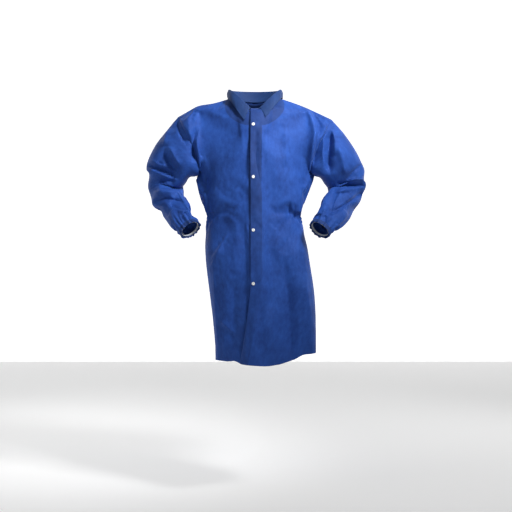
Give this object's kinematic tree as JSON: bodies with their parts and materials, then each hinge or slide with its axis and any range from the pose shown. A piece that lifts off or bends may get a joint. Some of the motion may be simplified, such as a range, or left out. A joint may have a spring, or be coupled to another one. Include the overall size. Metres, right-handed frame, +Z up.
{
  "type": "lab coat",
  "caption": "Blue knee-length spunbond lab coat in its worn, hands-on-hips shape, with turned-down collar, press-snap front and elastic wrists.",
  "frame": {"origin": "centre of the coat's bounding box in plan, at the height of the hem", "axes": "+X to the wearer's left, -Y out of the front, +Z up the coat"},
  "size_m": [0.8692, 0.3068, 1.0623],
  "materials": {
    "cloth": "matte spunbond cloth, one layer, royal blue",
    "cloth_double": "matte spunbond cloth, second layer of a facing, reads darker",
    "collar_cloth": "matte spunbond cloth, two layers",
    "elastic": "pale narrow elastic",
    "snap_plastic": "white moulded snap"
  },
  "bodies": {
    "coat": {"back_panel": "cloth", "back_neck_facing": "cloth_double", "collar_back": "collar_cloth", "left_front_side": "cloth", "left_neck_facing": "cloth_double", "left_sleeve_head": "cloth", "right_front_side": "cloth", "right_neck_facing": "cloth_double", "right_sleeve_head": "cloth"},
    "left_front": {"left_front_flap": "cloth", "left_front_facing": "cloth_double", "left_collar_front": "collar_cloth", "snap_cap_1": "snap_plastic", "snap_socket_1": "snap_plastic", "snap_cap_2": "snap_plastic", "snap_socket_2": "snap_plastic", "snap_cap_3": "snap_plastic", "snap_socket_3": "snap_plastic", "snap_cap_4": "snap_plastic", "snap_socket_4": "snap_plastic"},
    "right_front": {"right_front_flap": "cloth", "right_front_facing": "cloth_double", "right_collar_front": "collar_cloth", "snap_stud_1": "snap_plastic", "snap_post_1": "snap_plastic", "snap_stud_2": "snap_plastic", "snap_post_2": "snap_plastic", "snap_stud_3": "snap_plastic", "snap_post_3": "snap_plastic", "snap_stud_4": "snap_plastic", "snap_post_4": "snap_plastic"},
    "left_upper_sleeve": {"left_sleeve_upper": "cloth", "left_sleeve_elbow": "cloth"},
    "left_lower_sleeve": {"left_sleeve_lower": "cloth", "left_cuff_casing": "cloth", "left_cuff_elastic": "elastic"},
    "right_upper_sleeve": {"right_sleeve_upper": "cloth", "right_sleeve_elbow": "cloth"},
    "right_lower_sleeve": {"right_sleeve_lower": "cloth", "right_cuff_casing": "cloth", "right_cuff_elastic": "elastic"}
  },
  "joints": [
    {"name": "left_front_opening", "type": "hinge", "parent": "coat", "child": "left_front", "pos_m": [0.066, -0.1246, 0.985], "axis": [-0.1099, 0.0464, 0.9929], "range_deg": [0, 44]},
    {"name": "right_front_opening", "type": "hinge", "parent": "coat", "child": "right_front", "pos_m": [-0.066, -0.1246, 0.985], "axis": [-0.0506, -0.0466, -0.9976], "range_deg": [0, 12.32]},
    {"name": "left_shoulder", "type": "hinge", "parent": "coat", "child": "left_upper_sleeve", "pos_m": [0.2585, 0.0034, 0.8455], "axis": [0, -1, 0], "range_deg": [-4, 35], "deforming": ["left_sleeve_head"]},
    {"name": "left_elbow", "type": "hinge", "parent": "left_upper_sleeve", "child": "left_lower_sleeve", "pos_m": [0.366, 0.0474, 0.705], "axis": [0.5658, -0.7943, 0.2211], "range_deg": [-3, 55], "deforming": ["left_sleeve_elbow"]},
    {"name": "right_shoulder", "type": "hinge", "parent": "coat", "child": "right_upper_sleeve", "pos_m": [-0.2585, 0.0034, 0.8455], "axis": [0, 1, 0], "range_deg": [-4, 35], "deforming": ["right_sleeve_head"]},
    {"name": "right_elbow", "type": "hinge", "parent": "right_upper_sleeve", "child": "right_lower_sleeve", "pos_m": [-0.366, 0.0474, 0.705], "axis": [0.5658, 0.7943, -0.2211], "range_deg": [-3, 55], "deforming": ["right_sleeve_elbow"]}
  ],
  "couplings": [
    {"joint": "right_front_opening", "follows": "left_front_opening", "ratio": 0.28}
  ]
}
